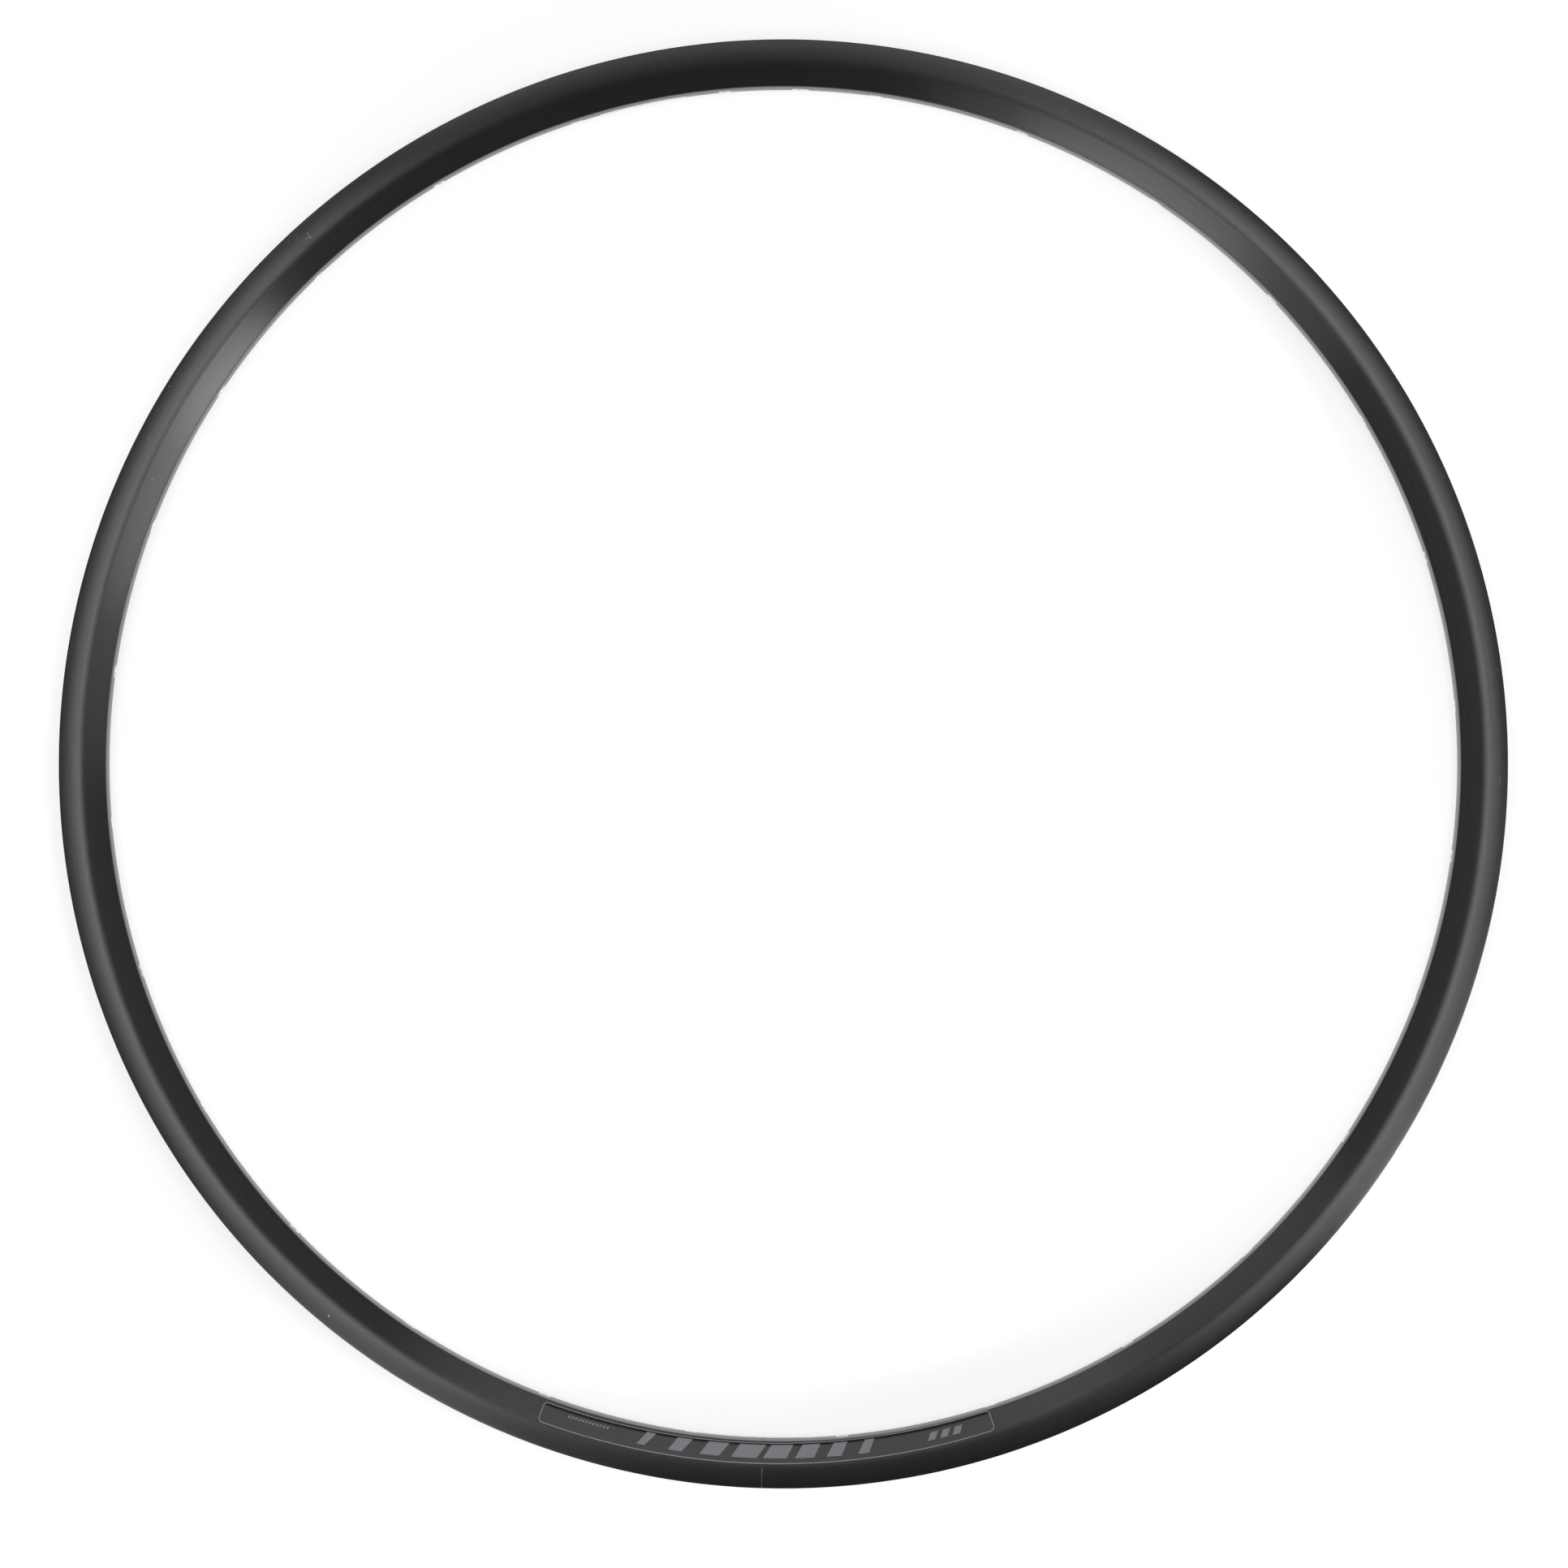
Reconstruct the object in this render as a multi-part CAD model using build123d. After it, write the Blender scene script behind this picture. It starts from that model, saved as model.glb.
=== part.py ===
from build123d import *
import math
import os

# Driving dimensions, in millimetres and degrees. The rim lies flat: its axle line is Z, the side with
# the decal faces +Z, the valve hole is at +Y, and the origin is the middle of the wheel.

# Tyre side of the section
bead_seat_diameter = 584.0
inner_width = 23.0
flange_height = 6.0
flange_wall = 1.5
hook_depth = 1.0
hook_height = 2.0
bead_seat_width = 3.6
well_slope_width = 2.6
well_depth = 2.8
tyre_bed_wall = 1.1

# Outer face of the flange
flange_bevel_height = 5.4
flange_bevel_drop = 0.9

# Side wall and spoke bed
rim_depth = 19.6
shoulder_drop = 9.3
side_lean = 32.7
side_wall = 1.0
root_wall = 1.6
root_height = 1.6
spoke_bed_wall = 2.0
spoke_bed_flat = 8.0
spoke_bed_crown = 0.7

# Drilling
spokes_per_side = 14
spoke_hole_diameter = 4.5
spoke_hole_offset = 1.25
access_hole_diameter = 8.6
access_hole_sides = 8
valve_hole_diameter = 6.5

# Seam and the sleeve that joins it
seam_gap = 0.15
seam_offset = 1.5
sleeve_clearance = 0.05
sleeve_end_margin = 2.0

# Decal on the side wall and labels on the spoke bed
decal_length = 189.0
decal_top_margin = 1.4
decal_bed_margin = 0.3
decal_thickness = 0.12
label_width = 5.5
label_thickness = 0.1
bed_label_length = 36.5
bed_label_angle = 13.5
seam_label_length = 19.8
seam_label_angle = 0.77
seam_label_offset = 1.25
glue_gap = 0.05

# Radii and half widths that the section is drawn from
seat_radius = bead_seat_diameter / 2
tip_radius = seat_radius + flange_height
crown_radius = tip_radius - rim_depth
corner_radius = crown_radius + spoke_bed_crown
shoulder_radius = tip_radius - shoulder_drop
well_radius = seat_radius - well_depth
hook_z = inner_width / 2
flange_inner_z = hook_z + hook_depth
half_width = flange_inner_z + flange_wall
seat_edge_z = flange_inner_z - bead_seat_width
well_z = seat_edge_z - well_slope_width
lean = math.radians(side_lean)
valve_angle = 90.0
seam_angle = valve_angle - 180.0 - math.degrees(seam_offset / seat_radius)


def side_z(radius):
    """Half width of the outer side wall at a radius below the shoulder."""
    return half_width - (shoulder_radius - radius) * math.tan(lean)


def polyline(points):
    return [Line(start, end).edge() for start, end in zip(points, points[1:])]


def section_face(bed_radius, bed_z, points):
    """Face above a spoke bed that bows about the middle of the wheel, closed by a line of points on one
    side, its mirror image and a straight top."""
    bow = math.degrees(math.asin(bed_z / bed_radius))
    bed = CenterArc((0, 0), bed_radius, -bow, 2 * bow).edge()
    side = polyline([bed @ 1, *points])
    top = Line(points[-1], (points[-1][0], -points[-1][1])).edge()
    return make_face([bed, top, *side, *[edge.mirror(Plane.XZ) for edge in side]])


def outer_face():
    """Outline of the extrusion, drawn in the XY plane as radius and width."""
    points = [
        (corner_radius, side_z(corner_radius)),
        (shoulder_radius, half_width),
        (tip_radius - flange_bevel_height, half_width),
        (tip_radius, half_width - flange_bevel_drop),
        (tip_radius, hook_z),
        (tip_radius - hook_height, flange_inner_z),
        (seat_radius, flange_inner_z),
        (seat_radius, seat_edge_z),
        (well_radius, well_z),
    ]
    return section_face(crown_radius, spoke_bed_flat / 2, points)


def cavity_face():
    """Outline of the hollow between the tyre bed, the side walls and the spoke bed."""
    bed_radius = crown_radius + spoke_bed_wall
    slope = math.atan2(well_depth, well_slope_width)
    bed_z = side_z(bed_radius) - side_wall / math.cos(lean)
    floor_z = well_z + tyre_bed_wall * math.tan(slope / 2)
    knee = (seat_radius - root_height, half_width - root_wall)
    return section_face(bed_radius, bed_z, [knee, (well_radius - tyre_bed_wall, floor_z)])


def ring(face, start_angle, sweep):
    """Revolve a section face about the axle line over an arc, anticlockwise from an angle."""
    return Rot(0, 0, start_angle) * revolve(Plane.XZ * face, Axis.Z, sweep)


def drill(profile, angle, z, start, end):
    """A drill that points straight away from the axle line, level at z, between two radii."""
    around = math.radians(angle)
    heading = Vector(math.cos(around), math.sin(around), 0)
    place = Plane(origin=heading * start + Vector(0, 0, z), x_dir=(0, 0, 1), z_dir=heading)
    return extrude(place * profile, end - start)


hollow = cavity_face()
section = outer_face() - hollow

# Rolled hoop: one length of extrusion with its two ends butted at the seam.
gap_angle = math.degrees(seam_gap / seat_radius)
hoop = ring(section, seam_angle + gap_angle / 2, 360.0 - gap_angle)

# One drill in each place makes a wide access hole through the tyre bed and a spoke hole through the
# spoke bed, in turn on either side of the middle.
below_bed = crown_radius - spoke_bed_wall
mid_hollow = (crown_radius + spoke_bed_wall + well_radius - tyre_bed_wall) / 2
pitch = 180.0 / spokes_per_side
spoke_hole = Circle(spoke_hole_diameter / 2)
access_hole = RegularPolygon(access_hole_diameter / 2, access_hole_sides, rotation=180.0 / access_hole_sides)
valve_hole = Circle(valve_hole_diameter / 2)
drills = [drill(valve_hole, valve_angle, 0, below_bed, seat_radius)]
for number in range(2 * spokes_per_side):
    angle = valve_angle - (number + 0.5) * pitch
    z = spoke_hole_offset if number % 2 else -spoke_hole_offset
    drills.append(drill(spoke_hole, angle, z, below_bed, mid_hollow))
    drills.append(drill(access_hole, angle, z, mid_hollow, seat_radius))
hoop -= drills

# Sleeve inside the hollow: it stops short of the access holes on either side of the seam.
hole_reach = math.radians(pitch / 2) * crown_radius - access_hole_diameter / 2
sleeve_half = hole_reach - abs(seam_offset) - sleeve_end_margin
sleeve_angle = 2 * math.degrees(sleeve_half / crown_radius)
sleeve_section = offset(hollow, -sleeve_clearance, kind=Kind.TANGENT)
sleeve = ring(sleeve_section, seam_angle - sleeve_angle / 2, sleeve_angle)


def decal_strip():
    """Vinyl strip on the straight part of the side wall."""
    wall_length = (shoulder_radius - corner_radius) / math.cos(lean)
    start = decal_top_margin
    end = wall_length - decal_bed_margin

    def on_wall(along, proud):
        radius = shoulder_radius - along * math.cos(lean) - proud * math.sin(lean)
        return (radius, half_width - along * math.sin(lean) + proud * math.cos(lean))

    top = glue_gap + decal_thickness
    corners = [on_wall(start, glue_gap), on_wall(end, glue_gap), on_wall(end, top), on_wall(start, top)]
    middle_radius = shoulder_radius - (start + end) / 2 * math.cos(lean)
    sweep = math.degrees(decal_length / middle_radius)
    return ring(make_face(polyline(corners + corners[:1])), valve_angle - 180.0 - sweep / 2, sweep)


def bed_strip(middle_angle, length, middle_z):
    """Blank label that lies along the bowed middle of the spoke bed."""
    edges = (middle_z - label_width / 2, middle_z + label_width / 2)
    low, high = [math.degrees(math.asin(z / crown_radius)) for z in edges]
    depths = (glue_gap, glue_gap + label_thickness)
    faces = [CenterArc((0, 0), crown_radius - depth, low, high - low).edge() for depth in depths]
    ends = [Line(faces[0] @ share, faces[1] @ share).edge() for share in (0, 1)]
    sweep = math.degrees(length / crown_radius)
    return ring(make_face(faces + ends), middle_angle - sweep / 2, sweep)


pieces = {
    "rim_hoop": hoop,
    "joint_sleeve": sleeve,
    "side_decal": decal_strip(),
    "bed_label": bed_strip(valve_angle + bed_label_angle, bed_label_length, 0),
    "seam_label": bed_strip(valve_angle - 180.0 + seam_label_angle, seam_label_length, -seam_label_offset),
}
os.makedirs("parts", exist_ok=True)
for name, piece in pieces.items():
    export_step(piece, f"parts/{name}.step")
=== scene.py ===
import math
import bmesh
import bpy
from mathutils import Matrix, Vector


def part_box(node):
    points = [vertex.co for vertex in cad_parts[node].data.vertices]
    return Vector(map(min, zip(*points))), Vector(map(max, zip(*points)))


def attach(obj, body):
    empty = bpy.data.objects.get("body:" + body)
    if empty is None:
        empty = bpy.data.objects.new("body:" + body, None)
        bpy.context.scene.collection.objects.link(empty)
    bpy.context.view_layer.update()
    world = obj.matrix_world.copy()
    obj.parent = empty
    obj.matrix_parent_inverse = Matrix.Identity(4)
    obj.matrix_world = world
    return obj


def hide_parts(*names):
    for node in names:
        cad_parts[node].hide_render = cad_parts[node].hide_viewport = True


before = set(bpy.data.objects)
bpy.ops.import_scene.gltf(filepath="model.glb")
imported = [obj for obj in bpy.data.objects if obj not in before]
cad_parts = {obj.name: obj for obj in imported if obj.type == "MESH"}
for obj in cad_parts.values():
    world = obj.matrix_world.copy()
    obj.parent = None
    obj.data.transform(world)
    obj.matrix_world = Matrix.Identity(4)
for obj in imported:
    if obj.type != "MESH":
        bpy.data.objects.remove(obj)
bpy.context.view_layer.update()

# Rim hoop. One length of hollow aluminium extrusion, rolled into a circle and butted at a seam,
# then anodised satin black. The holes are drilled last, so their edges are bare metal. Sizes are in
# millimetres and degrees, with the axle line along Z and the valve hole at +Y.
tip_radius = 298.0
seat_radius = 292.0
well_radius = 289.2
roof_radius = 288.1
shoulder_radius = 288.7
shoulder_rounding = 7.0
bed_corner = 279.1
bed_rounding = 1.2
bed_inside = 280.4
crown_radius = 278.4
crown_bow = 43.9
half_width = 14.0
side_lean = math.radians(32.7)
bed_strip = 6.2
floor_strip = 5.8


def crown_at(z):
    """Radius of the bowed spoke bed at a height above or below its middle."""
    return crown_radius + z * z / (2 * crown_bow)


def side_z(radius):
    """Half width of the hoop where the side wall leans in, at a radius below the shoulder."""
    return half_width - (shoulder_radius - radius) * math.tan(side_lean)


def rounded(corners):
    """Points along (radius, z, rounding, steps) corners, with an arc at each rounded one."""
    points = []
    for index, (r, z, rounding, steps) in enumerate(corners):
        if not rounding:
            points.append((r, z))
            continue
        before = corners[index - 1]
        after = corners[index + 1]
        back = math.atan2(before[1] - z, before[0] - r)
        ahead = math.atan2(after[1] - z, after[0] - r)
        turn = (ahead - back + math.pi) % (2 * math.pi) - math.pi
        middle = back + turn / 2
        reach = rounding / math.sin(abs(turn) / 2)
        centre_r, centre_z = r + reach * math.cos(middle), z + reach * math.sin(middle)
        sweep = math.copysign(math.pi - abs(turn), turn)
        for step in range(steps + 1):
            at = middle + math.pi + sweep * (0.5 - step / steps)
            points.append((centre_r + rounding * math.cos(at), centre_z + rounding * math.sin(at)))
    return points


outer_side = rounded([
    (crown_at(bed_strip), bed_strip, 0, 0),               # drilled strip of the spoke bed
    (bed_corner, side_z(bed_corner), bed_rounding, 5),    # spoke bed to side wall
    (shoulder_radius, half_width, shoulder_rounding, 8),  # side wall to the land above it
    (294.27, half_width, 21.0, 7),                        # convex outer face of the flange
    (tip_radius, 12.86, 0.5, 4),                          # tip of the flange
    (tip_radius, 11.5, 0.45, 5),                          # nose of the hook
    (296.0, 12.5, 1.6, 3),                                # under the hook
    (seat_radius, 12.5, 0.6, 4),                          # flange to bead seat
    (seat_radius, 8.9, 0.9, 3),                           # bead seat to the slope of the well
    (well_radius, 6.3, 0.5, 2),                           # foot of the slope
    (well_radius, floor_strip, 0, 0),                     # drilled strip of the well
])
hollow_side = rounded([
    (bed_inside, bed_strip, 0, 0),                        # inside of the spoke bed
    (bed_inside, 7.49, 0.5, 2),                           # spoke bed to side wall
    (290.4, 12.4, 0.6, 3),                                # root of the flange
    (roof_radius, 6.8, 0.6, 2),                           # side of the well
    (roof_radius, floor_strip, 0, 0),                     # underside of the well
])

# Drilling, and the seam: a hairline with a narrow rubbed edge on either side.
spoke_holes = 28
hole_pitch = 360.0 / spoke_holes
hole_stagger = 1.25
spoke_bore = 2.25
spoke_edge_break = 0.42
access_bore = 4.3
access_edge_break = 0.15
valve_bore = 3.25
valve_angle = 90.0
seam_angle = -90.294
seam_gap = 0.024
rubbed_width = 0.24

# Columns of the mesh round the hoop: close together at each hole, wider apart between the holes.
window_half = 6.6
window_radius = 284.0
window_steps = 10
widest_step = 1.3
seam_steps = 5
strip_steps = 8
shares_to_rim = (0.45, 0.8, 1.0)
hoop_crease = 28.0


def even_steps(start, end, count):
    """Values in even steps from a start, which is left out, to an end."""
    return [start + (end - start) * step / count for step in range(1, count + 1)]


hole_turns = [valve_angle - (n + 0.5) * hole_pitch - seam_angle for n in range(spoke_holes)]
valve_turn = (valve_angle - seam_angle) % 360.0
stops = sorted([turn % 360.0 for turn in hole_turns] + [valve_turn])
window = math.degrees(window_half / window_radius)
seam_half = math.degrees(seam_gap / 2 / seat_radius)
edge_turn = math.degrees(rubbed_width / seat_radius)
columns = [seam_half, seam_half + edge_turn]
windows = {}
for stop in stops:
    gap_steps = max(2, round((stop - window - columns[-1]) / widest_step))
    columns += even_steps(columns[-1], stop - window, gap_steps)
    windows[stop] = len(columns) - 1
    columns += even_steps(stop - window, stop + window, window_steps)
columns += even_steps(columns[-1], 360.0 - seam_half - edge_turn, seam_steps)
columns.append(360.0 - seam_half)
turns = [math.radians(seam_angle + turn) for turn in columns]

anodised_face, cut_face, rubbed_face = range(3)
hoop_points = []
hoop_faces = []
hoop_finish = []


def round_axle(turn, radius, z):
    """Place in metres of a point at a turn round the axle line, a radius and a height."""
    return radius * math.cos(turn) / 1000, radius * math.sin(turn) / 1000, z / 1000


def hoop_point(turn, radius, z):
    hoop_points.append(round_axle(turn, radius, z))
    return len(hoop_points) - 1


def hoop_row(radius, z):
    return [hoop_point(turn, radius, z) for turn in turns]


def join_rows(low, high, skip=()):
    """Faces between two rows of points. Those next to the seam have the rubbed finish."""
    last = len(turns) - 2
    for column in range(last + 1):
        if column not in skip:
            hoop_faces.append((low[column], low[column + 1], high[column + 1], high[column]))
            hoop_finish.append(rubbed_face if column in (0, last) else anodised_face)


def join_rings(outer, inner, finish):
    for step in range(len(outer)):
        after = (step + 1) % len(outer)
        hoop_faces.append((outer[step], outer[after], inner[after], inner[step]))
        hoop_finish.append(finish)


def drilled_strip(half, radius_at, hole_bore, edge_break=0.0, inward=0):
    """Strip across the hoop with a hole in each window. Returns its outer rows and hole rims."""
    levels = [-half] + even_steps(-half, half, strip_steps)
    rows = [hoop_row(radius_at(z), z) for z in levels]
    skip = {windows[stop] + step for stop in stops for step in range(window_steps)}
    for low, high in zip(rows, rows[1:]):
        join_rows(low, high, skip)
    middle = radius_at(0)
    rims = {}
    for stop in stops:
        first, last = windows[stop], windows[stop] + window_steps
        border = [(column, 0) for column in range(first, last)]
        border += [(last, level) for level in range(strip_steps)]
        border += [(column, strip_steps) for column in range(last, first, -1)]
        border += [(first, level) for level in range(strip_steps, 0, -1)]
        turn = math.radians(seam_angle + stop)
        if stop == valve_turn:
            bore, z_middle = valve_bore, 0.0
        else:
            number = round((stop - valve_turn) / hole_pitch - 0.5)
            bore, z_middle = hole_bore, hole_stagger if number % 2 == 0 else -hole_stagger
        ring = [rows[level][column] for column, level in border]
        flat = [((turns[column] - turn) * middle, levels[level] - z_middle)
                for column, level in border]
        rim = bore + edge_break
        for share in shares_to_rim:
            placed = []
            for run, rise in flat:
                at = math.atan2(rise, run)
                along = run + (rim * math.cos(at) - run) * share
                z = z_middle + rise + (rim * math.sin(at) - rise) * share
                placed.append(hoop_point(turn + along / middle, radius_at(z), z))
            join_rings(ring, placed, anodised_face)
            ring = placed
        if edge_break:
            placed = []
            for run, rise in flat:
                at = math.atan2(rise, run)
                z = z_middle + bore * math.sin(at)
                radius = radius_at(z) + inward * edge_break
                placed.append(hoop_point(turn + bore * math.cos(at) / middle, radius, z))
            join_rings(ring, placed, cut_face)
            ring = placed
        rims[stop] = ring
    return rows[0], rows[-1], rims


bed_low, bed_high, bed_rims = drilled_strip(
    bed_strip, crown_at, spoke_bore, spoke_edge_break, inward=1)
inner_low, inner_high, inner_rims = drilled_strip(bed_strip, lambda z: bed_inside, spoke_bore)
roof_low, roof_high, roof_rims = drilled_strip(floor_strip, lambda z: roof_radius, access_bore)
well_low, well_high, well_rims = drilled_strip(
    floor_strip, lambda z: well_radius, access_bore, access_edge_break, inward=-1)
for stop in stops:
    join_rings(bed_rims[stop], inner_rims[stop], cut_face)
    join_rings(well_rims[stop], roof_rims[stop], cut_face)
for side, bed_rows, tyre_rows in (
    (outer_side, (bed_low, bed_high), (well_low, well_high)),
    (hollow_side, (inner_low, inner_high), (roof_low, roof_high)),
):
    for sign in (1, -1):
        rows = [hoop_row(r, sign * z) for r, z in side[1:-1]]
        rows = [bed_rows[sign > 0], *rows, tyre_rows[sign > 0]]
        for low, high in zip(rows, rows[1:]):
            join_rows(low, high)

hoop_mesh = bpy.data.meshes.new("rim_hoop_drawn")
hoop_mesh.from_pydata(hoop_points, [], hoop_faces)
hoop_mesh.polygons.foreach_set("material_index", hoop_finish)
hoop_build = bmesh.new()
hoop_build.from_mesh(hoop_mesh)
loose = [point for point in hoop_build.verts if not point.link_faces]
bmesh.ops.delete(hoop_build, geom=loose, context="VERTS")

# The two cut ends of the extrusion close the mesh, one on each side of the seam.
seam_turn = math.radians(seam_angle)
end_edges = {False: [], True: []}
for edge in hoop_build.edges:
    if edge.is_boundary:
        spot = edge.verts[0].co
        past_seam = spot.y * math.cos(seam_turn) - spot.x * math.sin(seam_turn)
        end_edges[past_seam > 0].append(edge)
for loop in end_edges.values():
    filled = bmesh.ops.triangle_fill(hoop_build, edges=loop, use_beauty=True)
    for item in filled["geom"]:
        if isinstance(item, bmesh.types.BMFace):
            item.material_index = cut_face
bmesh.ops.recalc_face_normals(hoop_build, faces=hoop_build.faces)
for face in hoop_build.faces:
    face.smooth = True
hoop_build.to_mesh(hoop_mesh)
hoop_build.free()
hoop_mesh.set_sharp_from_angle(angle=math.radians(hoop_crease))


def put_in_scene(name, data):
    placed = bpy.data.objects.new(name, data)
    bpy.context.collection.objects.link(placed)
    return placed


rim_hoop = put_in_scene("rim_hoop_drawn", hoop_mesh)


def link_nodes(tree, *pairs):
    for source, target in pairs:
        tree.links.new(source, target)


def work_out(tree, operation, first, second=None):
    """Socket with the result of a sum on one or two sockets or numbers."""
    node = tree.nodes.new("ShaderNodeMath")
    node.operation = operation
    for socket, value in zip(node.inputs, (first, second)):
        if value is None:
            continue
        if isinstance(value, (int, float)):
            socket.default_value = value
        else:
            tree.links.new(value, socket)
    return node.outputs[0]


def length_of(tree, first, second):
    """Socket with the length of the slope over two sides at right angles."""
    squares = [work_out(tree, "MULTIPLY", side, side) for side in (first, second)]
    return work_out(tree, "SQRT", work_out(tree, "ADD", *squares))


def new_effect(name, inputs, outputs):
    """Node group for a surface effect, with numbers for its inputs and outputs."""
    tree = bpy.data.node_groups.new(name, "ShaderNodeTree")
    for title, value in inputs.items():
        socket = tree.interface.new_socket(title, in_out="INPUT", socket_type="NodeSocketFloat")
        socket.default_value = value
    for title in outputs:
        tree.interface.new_socket(title, in_out="OUTPUT", socket_type="NodeSocketFloat")
    group_in = tree.nodes.new("NodeGroupInput").outputs
    return tree, group_in, tree.nodes.new("NodeGroupOutput").inputs


def add_noise(tree, scale, detail, place=None):
    node = tree.nodes.new("ShaderNodeTexNoise")
    node.inputs["Scale"].default_value = scale
    node.inputs["Detail"].default_value = detail
    if place is not None:
        tree.links.new(place, node.inputs["Vector"])
    return node.outputs


# Fine lines that the die leaves along the extrusion, so they run round the rolled hoop.
die_lines, lines_in, lines_out = new_effect(
    "die_lines", {"Fineness": 5200.0, "Drift": 1.4}, ["Lines", "Broad", "Radius"])
split = die_lines.nodes.new("ShaderNodeSeparateXYZ")
flow = die_lines.nodes.new("ShaderNodeCombineXYZ")
place = die_lines.nodes.new("ShaderNodeTexCoord").outputs["Object"]
link_nodes(die_lines, (place, split.inputs[0]))
x, y, z = split.outputs
radius = length_of(die_lines, x, y)
around = work_out(die_lines, "ARCTAN2", y, x)
for axis, value, factor in ((0, radius, "Fineness"), (1, z, "Fineness"), (2, around, "Drift")):
    stretched = work_out(die_lines, "MULTIPLY", value, lines_in[factor])
    link_nodes(die_lines, (stretched, flow.inputs[axis]))
fine = add_noise(die_lines, scale=1.0, detail=3.0, place=flow.outputs[0])
broad = add_noise(die_lines, scale=0.16, detail=2.0, place=flow.outputs[0])
link_nodes(die_lines, (fine[0], lines_out["Lines"]), (broad[0], lines_out["Broad"]),
           (radius, lines_out["Radius"]))

# Specks of dust and tiny nicks: a few cells in a fine grid each hold one small spot.
dust_specks, specks_in, specks_out = new_effect(
    "dust_specks", {"Cells": 160.0, "Share": 0.05, "Size": 0.06}, ["Specks"])
cells = dust_specks.nodes.new("ShaderNodeTexVoronoi")
chance = dust_specks.nodes.new("ShaderNodeSeparateColor")
place = dust_specks.nodes.new("ShaderNodeTexCoord").outputs["Object"]
link_nodes(dust_specks, (place, cells.inputs["Vector"]),
           (specks_in["Cells"], cells.inputs["Scale"]),
           (cells.outputs["Color"], chance.inputs[0]))
chosen = work_out(dust_specks, "LESS_THAN", chance.outputs[0], specks_in["Share"])
spot_size = work_out(dust_specks, "MULTIPLY", chance.outputs[1], specks_in["Size"])
spot = work_out(dust_specks, "LESS_THAN", cells.outputs["Distance"], spot_size)
link_nodes(dust_specks, (work_out(dust_specks, "MULTIPLY", chosen, spot), specks_out["Specks"]))


def new_finish(name):
    """Material with its node tree and the inputs of its shader."""
    material = bpy.data.materials.new(name)
    material.use_nodes = True
    tree = material.node_tree
    return material, tree, tree.nodes["Principled BSDF"].inputs


def lay_effect(tree, effect, **values):
    node = tree.nodes.new("ShaderNodeGroup")
    node.node_tree = effect
    for title, value in values.items():
        node.inputs[title].default_value = value
    return node.outputs


def mix_tones(tree, share, first, second):
    node = tree.nodes.new("ShaderNodeMix")
    node.data_type = "RGBA"
    factor, tone_a, tone_b = node.inputs[0], node.inputs[6], node.inputs[7]
    for socket, value in ((factor, share), (tone_a, first), (tone_b, second)):
        if isinstance(value, tuple):
            socket.default_value = (*value, 1.0)
        else:
            tree.links.new(value, socket)
    return node.outputs[2]


def vary_between(tree, value, low, high, start=0.0, end=1.0):
    """Socket that goes from low to high while a value goes from start to end."""
    node = tree.nodes.new("ShaderNodeMapRange")
    node.inputs["From Min"].default_value = start
    node.inputs["From Max"].default_value = end
    node.inputs["To Min"].default_value = low
    node.inputs["To Max"].default_value = high
    tree.links.new(value, node.inputs["Value"])
    return node.outputs[0]


def raise_grain(tree, height, distance, strength):
    node = tree.nodes.new("ShaderNodeBump")
    node.inputs["Distance"].default_value = distance
    node.inputs["Strength"].default_value = strength
    tree.links.new(height, node.inputs["Height"])
    return node.outputs[0]


def plain_metal(name, dull, bright, rough, grain=None, **line_values):
    """Metal without a coat. Die lines vary its tone and roughness, and grain raises them."""
    material, tree, shader = new_finish(name)
    lines = lay_effect(tree, die_lines, **line_values)
    tone = mix_tones(tree, lines["Lines"], dull, bright)
    roughness = vary_between(tree, lines["Broad"], *rough)
    link_nodes(tree, (tone, shader["Base Color"]), (roughness, shader["Roughness"]))
    if grain:
        link_nodes(tree, (raise_grain(tree, lines["Lines"], *grain), shader["Normal"]))
    shader["Metallic"].default_value = 1.0
    return material


black_anodised, tree, shader = new_finish("black_anodised")
deep_black, soft_black = (0.046, 0.0458, 0.0454), (0.055, 0.0546, 0.054)
dust_grey, nick_grey = (0.30, 0.29, 0.28), (0.13, 0.128, 0.125)
bed_gloss = 0.11
lines = lay_effect(tree, die_lines)
specks = lay_effect(tree, dust_specks)
tone = mix_tones(tree, lines["Broad"], deep_black, soft_black)
tone = mix_tones(tree, specks["Specks"], tone, dust_grey)

# Small nicks and stuck specks on the side that faces up, each at its place in millimetres. A fine
# noise shifts the place by a little, in metres, so that their outlines are ragged.
nick_shift = 0.0006
nick_level = 0.004
place = tree.nodes.new("ShaderNodeTexCoord").outputs["Object"]
ragged = add_noise(tree, scale=2500.0, detail=2.0, place=place)
flat = tree.nodes.new("ShaderNodeVectorMath")
flat.operation = "MULTIPLY"
flat.inputs[1].default_value = (1.0, 1.0, 0.0)
shifted = tree.nodes.new("ShaderNodeVectorMath")
shifted.operation = "MULTIPLY_ADD"
shifted.inputs[1].default_value = (nick_shift, nick_shift, 0.0)
link_nodes(tree, (place, flat.inputs[0]), (ragged["Color"], shifted.inputs[0]),
           (flat.outputs[0], shifted.inputs[2]))
nicks = 0.0
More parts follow.
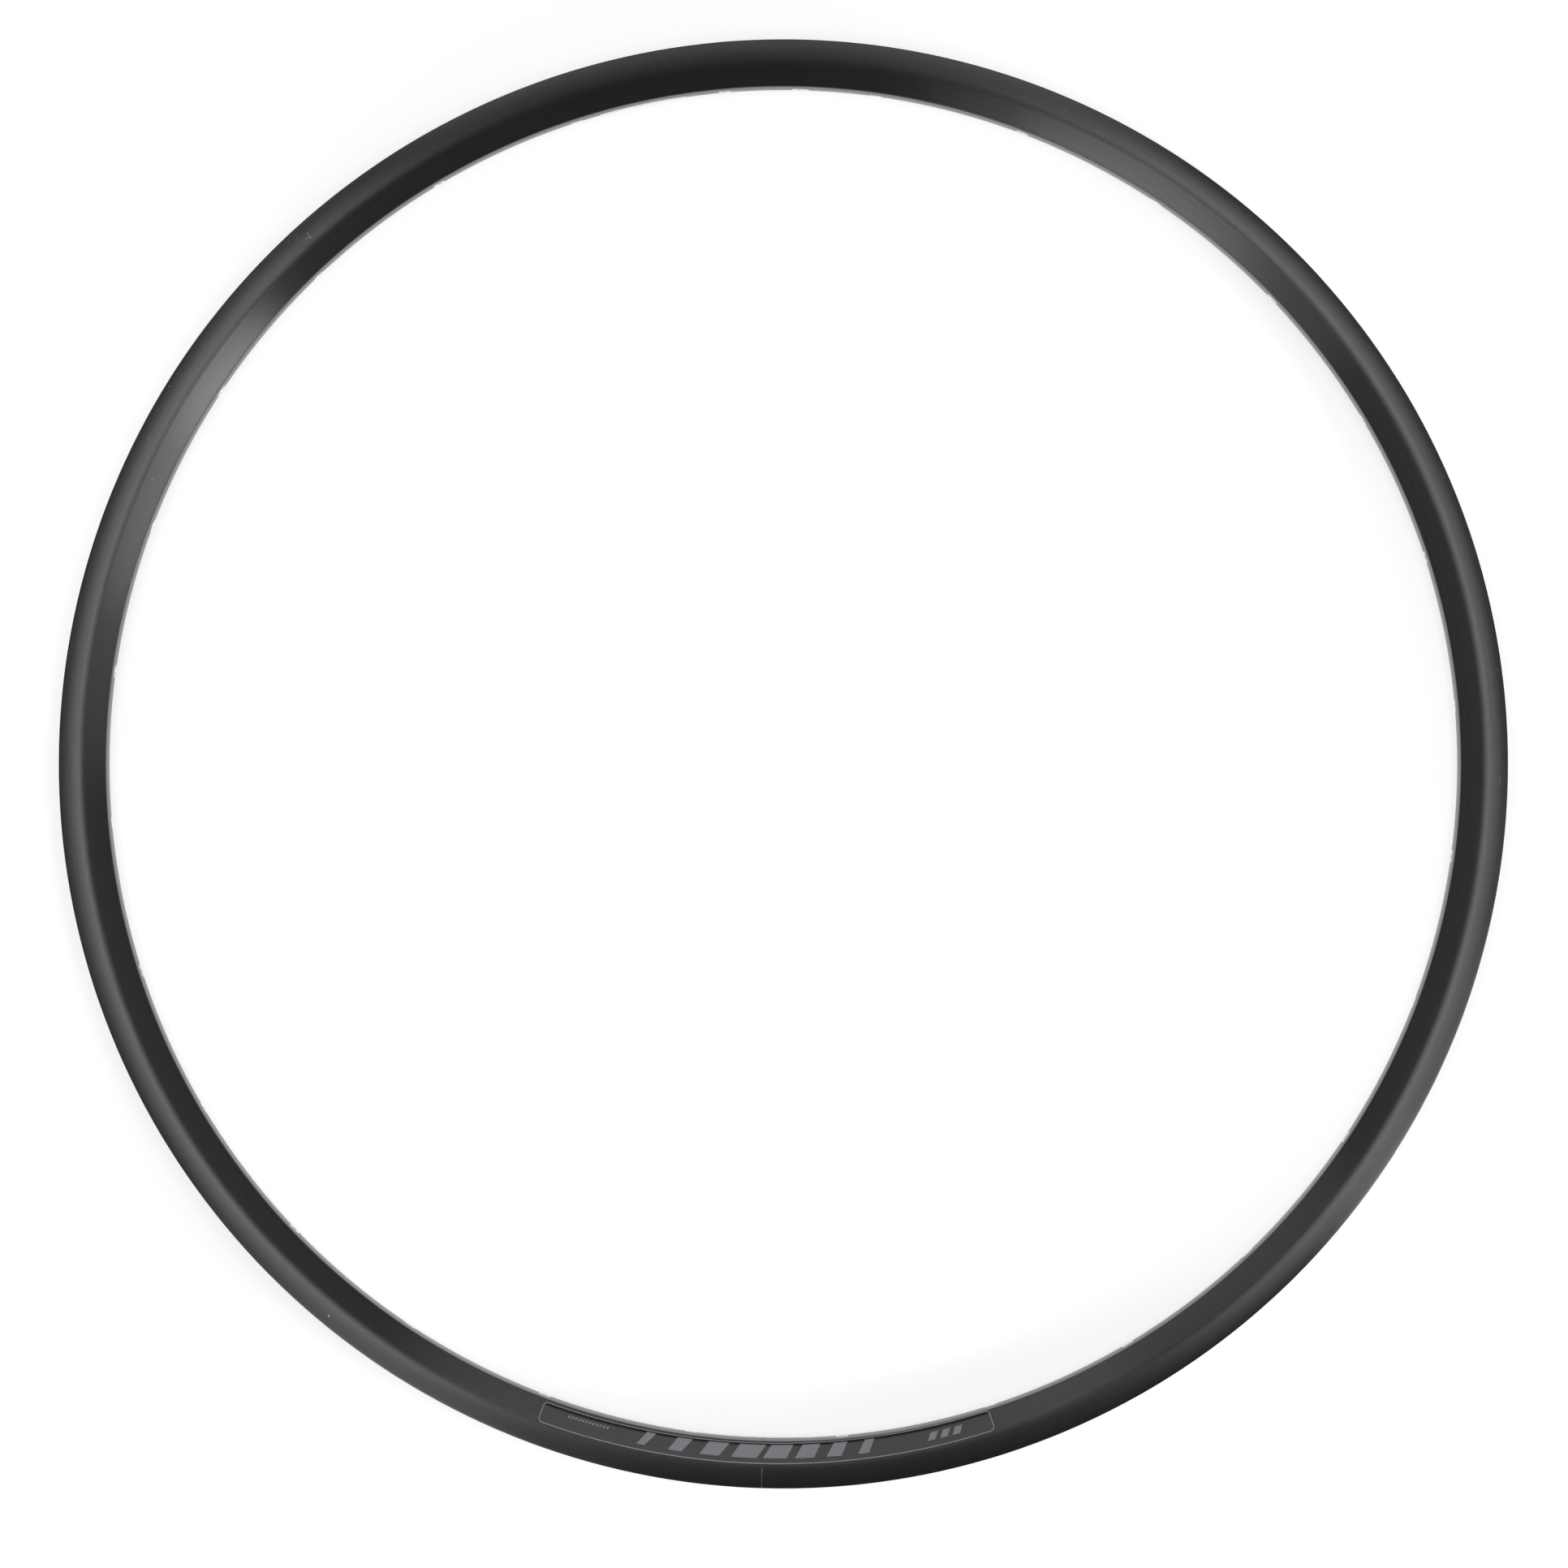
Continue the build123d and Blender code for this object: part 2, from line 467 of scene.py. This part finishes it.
for x, y, size in (
    (-201.0, 213.0, 0.41), (-200.3, 212.0, 0.38), (-199.6, 211.4, 0.34), (-201.3, 211.0, 0.30),
    (-208.9, 209.8, 0.26), (-205.3, 210.6, 0.26), (-242.6, 166.2, 0.26), (-264.0, 127.6, 0.26),
    (109.6, 271.5, 0.26), (151.2, 249.6, 0.22), (268.5, 125.0, 0.30), (289.5, 45.1, 0.30),
    (292.5, 46.2, 0.26), (294.6, 1.2, 0.26), (294.7, 0.2, 0.26), (294.7, -0.8, 0.26),
    (79.8, -283.9, 0.26),
):
    away = tree.nodes.new("ShaderNodeVectorMath")
    away.operation = "DISTANCE"
    away.inputs[1].default_value = (x / 1000 + nick_shift / 2, y / 1000 + nick_shift / 2, 0.0)
    link_nodes(tree, (shifted.outputs[0], away.inputs[0]))
    nick = work_out(tree, "LESS_THAN", away.outputs["Value"], size / 1000)
    nicks = work_out(tree, "MAXIMUM", nicks, nick)
height = tree.nodes.new("ShaderNodeSeparateXYZ")
link_nodes(tree, (place, height.inputs[0]))
faces_up = work_out(tree, "GREATER_THAN", height.outputs[2], nick_level)
tone = mix_tones(tree, work_out(tree, "MULTIPLY", nicks, faces_up), tone, nick_grey)

satin = vary_between(tree, lines["Lines"], low=0.255, high=0.305)
on_bed = work_out(tree, "LESS_THAN", lines["Radius"], bed_corner / 1000)
satin = work_out(tree, "SUBTRACT", satin, work_out(tree, "MULTIPLY", on_bed, bed_gloss))
drawn = raise_grain(tree, lines["Lines"], distance=0.00002, strength=0.05)
tangent = tree.nodes.new("ShaderNodeTangent")
tangent.direction_type = "RADIAL"
tangent.axis = "Z"
link_nodes(tree, (tone, shader["Base Color"]), (satin, shader["Roughness"]),
           (drawn, shader["Normal"]), (tangent.outputs[0], shader["Tangent"]))
shader["Metallic"].default_value = 1.0
shader["Anisotropic"].default_value = 1.0
shader["Anisotropic Rotation"].default_value = 0.25

cut_aluminium = plain_metal(
    "cut_aluminium", dull=(0.76, 0.755, 0.745), bright=(0.93, 0.925, 0.915), rough=(0.28, 0.45),
    Fineness=9000.0, Drift=40.0)
rubbed_edge = plain_metal(
    "rubbed_edge", dull=(0.030, 0.030, 0.030), bright=(0.055, 0.055, 0.0545), rough=(0.3, 0.45),
    Fineness=3000.0, Drift=60.0)
for material in (black_anodised, cut_aluminium, rubbed_edge):
    hoop_mesh.materials.append(material)
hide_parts("rim_hoop")
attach(rim_hoop, "root")

# Joint sleeve. A plug of bare extruded aluminium, pushed into the hollow from both ends of the hoop
# so that it bridges the seam. Only a hair of it shows, in the seam.
bare_extrusion = plain_metal(
    "bare_extrusion", dull=(0.55, 0.55, 0.56), bright=(0.76, 0.76, 0.77), rough=(0.3, 0.5),
    grain=(0.00003, 0.5), Fineness=2600.0)
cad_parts["joint_sleeve"].data.materials.clear()
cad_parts["joint_sleeve"].data.materials.append(bare_extrusion)

# Side decal. A strip of thin charcoal vinyl with a light edge line and a plain print of slanted
# bars, stuck on the side wall across the seam, opposite the valve hole.
decal_length = 189.0
decal_corner = 2.0
decal_lift = 0.05
decal_thickness = 0.12
decal_start = 1.4
decal_bed_margin = 0.3
decal_raise = 0.4
decal_tilt = 0.006
decal_angle = -90.0
decal_columns = 90
decal_levels = 8
quarter_steps = 6
sheet_crease = 40.0
shoulder_run = 2.05
bed_run = 0.54
wall_length = (shoulder_radius - bed_corner) / math.cos(side_lean)
decal_end = wall_length - decal_bed_margin
decal_width = decal_end - decal_start
decal_half = decal_length / 2
straight_half = decal_half - decal_corner


def wall_point(along, proud):
    """Radius and z at a distance down the side wall from its shoulder, and out from the metal. The
    point follows the wall's rounded ends, where it runs into the shoulder and the spoke bed."""
    over_shoulder = max(0.0, shoulder_run - along)
    over_bed = max(0.0, along - wall_length + bed_run)
    out = proud - over_shoulder**2 / (2 * shoulder_rounding) - over_bed**2 / (2 * bed_rounding)
    radius = shoulder_radius - along * math.cos(side_lean) - out * math.sin(side_lean)
    return radius, half_width - along * math.sin(side_lean) + out * math.cos(side_lean)


def corner_cut(corner, half, lie):
    """How far a rounded corner draws in the long edges of a sheet, at a place along its length."""
    inset = max(0.0, corner - (half - abs(lie)))
    return corner - math.sqrt(max(0.0, corner**2 - inset**2))


def sheet_faces(columns, levels):
    """Corners, as (layer, column, level), of all the faces that close a thin sheet."""
    faces = []
    for column in range(columns):
        for level in range(levels):
            for layer in ("under", "upper"):
                faces.append([(layer, column, level), (layer, column + 1, level),
                              (layer, column + 1, level + 1), (layer, column, level + 1)])
        for level in (0, levels):
            faces.append([("under", column, level), ("under", column + 1, level),
                          ("upper", column + 1, level), ("upper", column, level)])
    for column in (0, columns):
        for level in range(levels):
            faces.append([("under", column, level), ("under", column, level + 1),
                          ("upper", column, level + 1), ("upper", column, level)])
    return faces


def sheet_piece(build, name, material):
    """A sheet as a piece of its own, with crisp edges."""
    bmesh.ops.recalc_face_normals(build, faces=build.faces)
    mesh = bpy.data.meshes.new(name)
    build.to_mesh(mesh)
    build.free()
    mesh.set_sharp_from_angle(angle=math.radians(sheet_crease))
    mesh.materials.append(material)
    return put_in_scene(name, mesh)


quarter_turns = [math.radians(90 * step / quarter_steps) for step in range(quarter_steps)]
from_end = [decal_corner * (1 - math.cos(turn)) for turn in quarter_turns]
lengthwise = [-decal_half + distance for distance in from_end] + [-straight_half]
lengthwise += even_steps(-straight_half, straight_half, decal_columns)
lengthwise += [decal_half - distance for distance in reversed(from_end)]
middle_radius = wall_point((decal_start + decal_end) / 2, 0)[0]
decal_build = bmesh.new()
print_layer = decal_build.loops.layers.uv.new("print")
decal_spots = {}
for layer, proud in (("under", decal_lift), ("upper", decal_lift + decal_thickness)):
    for column, length in enumerate(lengthwise):
        half_span = decal_width / 2 - corner_cut(decal_corner, decal_half, length)
        slip = decal_tilt * length - decal_raise
        turn = math.radians(decal_angle) + length / middle_radius
        for level in range(decal_levels + 1):
            across = half_span * (2 * level / decal_levels - 1)
            radius, z = wall_point(decal_start + decal_width / 2 - across + slip, proud)
            spot = decal_build.verts.new(round_axle(turn, radius, z))
            decal_spots[layer, column, level] = spot, (length, across)
for corners in sheet_faces(len(lengthwise) - 1, decal_levels):
    face = decal_build.faces.new([decal_spots[corner][0] for corner in corners])
    face.smooth = True
    for loop, corner in zip(face.loops, corners):
        loop[print_layer].uv = decal_spots[corner][1]

decal_vinyl, tree, shader = new_finish("decal_vinyl")
charcoal, pale_charcoal = (0.049, 0.049, 0.051), (0.061, 0.061, 0.0635)
band_black, print_grey = (0.008, 0.008, 0.008), (0.215, 0.222, 0.237)
edge_grey, speck_grey = (0.25, 0.25, 0.25), (0.4, 0.4, 0.39)
edge_line_width = 0.36
print_slant = 0.55
band_width = 2.35
band_raggedness = 1.6
band_matting = 0.4
whole_periods = 40
prints = tree.nodes.new("ShaderNodeUVMap")
prints.uv_map = "print"
split = tree.nodes.new("ShaderNodeSeparateXYZ")
link_nodes(tree, (prints.outputs[0], split.inputs[0]))
along, across = split.outputs[0], split.outputs[1]


def past(tree, value, limit):
    """How far a value is past a limit, and 0 before it."""
    return work_out(tree, "MAXIMUM", work_out(tree, "SUBTRACT", value, limit), 0.0)


def between(tree, value, low, high):
    """Mask of the places where a value is between two limits."""
    above = work_out(tree, "GREATER_THAN", value, low)
    return work_out(tree, "MULTIPLY", above, work_out(tree, "LESS_THAN", value, high))


from_middle = work_out(tree, "ABSOLUTE", along)
corner_x = past(tree, from_middle, straight_half)
corner_y = past(tree, work_out(tree, "ABSOLUTE", across), decal_width / 2 - decal_corner)
corner_reach = length_of(tree, corner_x, corner_y)
edge_line = work_out(tree, "GREATER_THAN", corner_reach, decal_corner - edge_line_width)

# The print: big slanted blocks that grow narrower towards both ends, three small ones and a row of
# ticks.
slanted = work_out(tree, "ADD", along, work_out(tree, "MULTIPLY", across, print_slant))
printed = 0.0
for start, end, low, high, period, share, thinning in (
    (-52.0, 52.0, -3.9, 2.3, 13.0, 0.84, 0.0118),
    (66.5, 82.0, -1.9, 1.6, 5.2, 0.6, 0.0),
    (-84.0, -66.0, -2.3, -1.1, 1.5, 0.5, 0.0),
):
    ahead = work_out(tree, "ADD", slanted, whole_periods * period)
    phase = work_out(tree, "FRACT", work_out(tree, "DIVIDE", ahead, period))
    filled = work_out(tree, "SUBTRACT", share, work_out(tree, "MULTIPLY", from_middle, thinning))
    block = work_out(tree, "MULTIPLY", between(tree, slanted, start, end),
                     between(tree, across, low, high))
    block = work_out(tree, "MULTIPLY", block, work_out(tree, "LESS_THAN", phase, filled))
    printed = work_out(tree, "MAXIMUM", printed, block)

# The ragged black band along the edge next to the spoke bed, where the vinyl is also rougher.
ragged = add_noise(tree, scale=150.0, detail=4.0)
rough_edge = work_out(tree, "MULTIPLY", ragged[0], band_raggedness)
band_line = work_out(tree, "ADD", across, rough_edge)
band = work_out(tree, "LESS_THAN", band_line, -decal_width / 2 + band_width)
specks = lay_effect(tree, dust_specks, Cells=300.0, Share=0.08, Size=0.09)
grain = lay_effect(tree, die_lines, Fineness=1500.0, Drift=900.0)
tone = mix_tones(tree, grain["Lines"], charcoal, pale_charcoal)
tone = mix_tones(tree, band, tone, band_black)
tone = mix_tones(tree, printed, tone, print_grey)
tone = mix_tones(tree, edge_line, tone, edge_grey)
tone = mix_tones(tree, specks["Specks"], tone, speck_grey)
matt = vary_between(tree, grain["Broad"], low=0.42, high=0.55)
matt = work_out(tree, "ADD", matt, work_out(tree, "MULTIPLY", band, band_matting))
pebbled = raise_grain(tree, grain["Lines"], distance=0.00003, strength=0.3)
link_nodes(tree, (tone, shader["Base Color"]), (matt, shader["Roughness"]),
           (pebbled, shader["Normal"]))
shader["Specular IOR Level"].default_value = 0.3
side_decal = sheet_piece(decal_build, "side_decal_vinyl", decal_vinyl)
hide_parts("side_decal")
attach(side_decal, "root")

# Spoke bed labels. Two blank strips of white film, pressed across the crowned spoke bed: a longer
# one beside the valve hole and a shorter one at the seam.
label_width = 5.5
label_corner = 0.8
label_lift = 0.05
label_thickness = 0.1
label_columns = 40
label_levels = 12
film_dull, film_white, film_speck = (0.80, 0.80, 0.785), (0.88, 0.88, 0.87), (0.45, 0.44, 0.42)
label_film, tree, shader = new_finish("label_film")
grain = lay_effect(tree, die_lines, Fineness=1200.0, Drift=1500.0)
specks = lay_effect(tree, dust_specks, Cells=420.0, Share=0.1, Size=0.1)
tone = mix_tones(tree, grain["Broad"], film_dull, film_white)
tone = mix_tones(tree, specks["Specks"], tone, film_speck)
matt = vary_between(tree, grain["Lines"], low=0.5, high=0.65)
pebbled = raise_grain(tree, grain["Lines"], distance=0.00004, strength=0.3)
link_nodes(tree, (tone, shader["Base Color"]), (matt, shader["Roughness"]),
           (pebbled, shader["Normal"]))
for node, piece_name, middle_angle, middle_z, length in (
    ("bed_label", "bed_label_film", valve_angle + 13.5, 0.0, 36.5),
    ("seam_label", "seam_label_film", -89.23, -1.25, 19.8),
):
    label_build = bmesh.new()
    label_spots = {}
    for layer, depth in (("under", label_lift), ("upper", label_lift + label_thickness)):
        for column in range(label_columns + 1):
            lie = -length / 2 * math.cos(math.pi * column / label_columns)
            half_span = label_width / 2 - corner_cut(label_corner, length / 2, lie)
            turn = math.radians(middle_angle) + lie / crown_radius
            for level in range(label_levels + 1):
                z = middle_z + half_span * (2 * level / label_levels - 1)
                spot = label_build.verts.new(round_axle(turn, crown_at(z) - depth, z))
                label_spots[layer, column, level] = spot
    for corners in sheet_faces(label_columns, label_levels):
        label_build.faces.new([label_spots[corner] for corner in corners]).smooth = True
    label = sheet_piece(label_build, piece_name, label_film)
    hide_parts(node)
    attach(label, "root")

# Studio. A white floor that the rim lies on, two soft strips overhead, soft lamps low and high
# round it, and a camera straight above, turned a little so that the valve hole is just right of the
# top. Sizes here are in metres.
floor_radius = 1.8
floor_grey = (0.52, 0.52, 0.52, 1.0)
white = (1.0, 1.0, 1.0, 1.0)
glow_near, glow_far = 0.65, 1.0
fade_start, fade_end = 0.4, 1.0
room_light = 0.105
floor_build = bmesh.new()
floor_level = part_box("rim_hoop")[0][2]
bmesh.ops.create_circle(floor_build, cap_ends=True, radius=floor_radius, segments=96)
bmesh.ops.translate(floor_build, verts=floor_build.verts, vec=(0.0, 0.0, floor_level))
floor_mesh = bpy.data.meshes.new("studio_floor")
floor_build.to_mesh(floor_mesh)
floor_build.free()
studio_floor = put_in_scene("studio_floor", floor_mesh)
floor_paint, tree, shader = new_finish("floor_paint")
shader["Base Color"].default_value = floor_grey
shader["Roughness"].default_value = 0.9
shader["Specular IOR Level"].default_value = 0.1
shader["Emission Color"].default_value = white

# The floor is seen white, by eye and in the metal. Near the rim it glows less and keeps the shadow.
rays = tree.nodes.new("ShaderNodeLightPath").outputs
seen = work_out(tree, "MAXIMUM", rays["Is Glossy Ray"], rays["Is Transmission Ray"])
seen = work_out(tree, "MAXIMUM", rays["Is Camera Ray"], seen)
place = tree.nodes.new("ShaderNodeTexCoord").outputs["Object"]
away = tree.nodes.new("ShaderNodeVectorMath")
away.operation = "LENGTH"
link_nodes(tree, (place, away.inputs[0]))
glow = vary_between(tree, away.outputs["Value"], glow_near, glow_far, fade_start, fade_end)
link_nodes(tree, (work_out(tree, "MULTIPLY", seen, glow), shader["Emission Strength"]))
floor_mesh.materials.append(floor_paint)

world = bpy.data.worlds.new("studio_world")
bpy.context.scene.world = world
world.use_nodes = True
tree = world.node_tree
backdrop = tree.nodes["Background"].inputs
backdrop["Color"].default_value = white
rays = tree.nodes.new("ShaderNodeLightPath").outputs
seen = work_out(tree, "MULTIPLY", rays["Is Camera Ray"], 1.0 - room_light)
link_nodes(tree, (work_out(tree, "ADD", seen, room_light), backdrop["Strength"]))

for lamp_name, azimuth, elevation, distance, size, power in (
    ("right_strip", 8.5, 81.0, 2.68, (1.2, 0.5), 11.6),
    ("left_strip", 188.5, 81.0, 2.68, (1.2, 0.5), 11.6),
    ("right_low_lamp", -33.6, 24.0, 2.2, (0.49, 0.65), 7.2),
    ("right_mid_lamp", -25.6, 24.0, 2.2, (1.02, 0.65), 11.8),
    ("right_wide_lamp", -18.6, 24.0, 2.2, (1.58, 0.65), 6.8),
    ("front_low_lamp", -120.6, 24.0, 2.2, (0.85, 0.65), 8.0),
    ("front_wide_lamp", -121.6, 24.0, 2.2, (1.57, 0.65), 8.5),
    ("left_low_lamp", 126.0, 24.0, 2.2, (1.5, 0.55), 6.0),
    ("back_low_lamp", 72.0, 24.0, 2.2, (1.1, 0.55), 2.3),
    ("back_high_lamp", 91.0, 46.0, 2.6, (2.2, 0.55), 12.0),
):
    lamp = bpy.data.lights.new(lamp_name, "AREA")
    lamp.shape = "ELLIPSE"
    lamp.size, lamp.size_y = size
    lamp.energy = power
    softbox = put_in_scene(lamp_name, lamp)
    turn, rise = math.radians(azimuth), math.radians(elevation)
    reach = distance * math.cos(rise)
    softbox.location = (reach * math.cos(turn), reach * math.sin(turn), distance * math.sin(rise))
    softbox.rotation_euler = (math.pi / 2 - rise, 0.0, turn + math.pi / 2)

camera_height = 3.0
camera_turn = 1.44
camera_data = bpy.data.cameras.new("overhead_camera")
camera_data.sensor_width = 36.0
camera_data.lens = 166.8
camera_data.shift_x = 0.0004
camera_data.shift_y = -0.0128
camera = put_in_scene("overhead_camera", camera_data)
camera.location = (0.0, 0.0, camera_height)
camera.rotation_euler = (0.0, 0.0, math.radians(camera_turn))
bpy.context.scene.camera = camera
bpy.context.scene.view_settings.view_transform = "Standard"
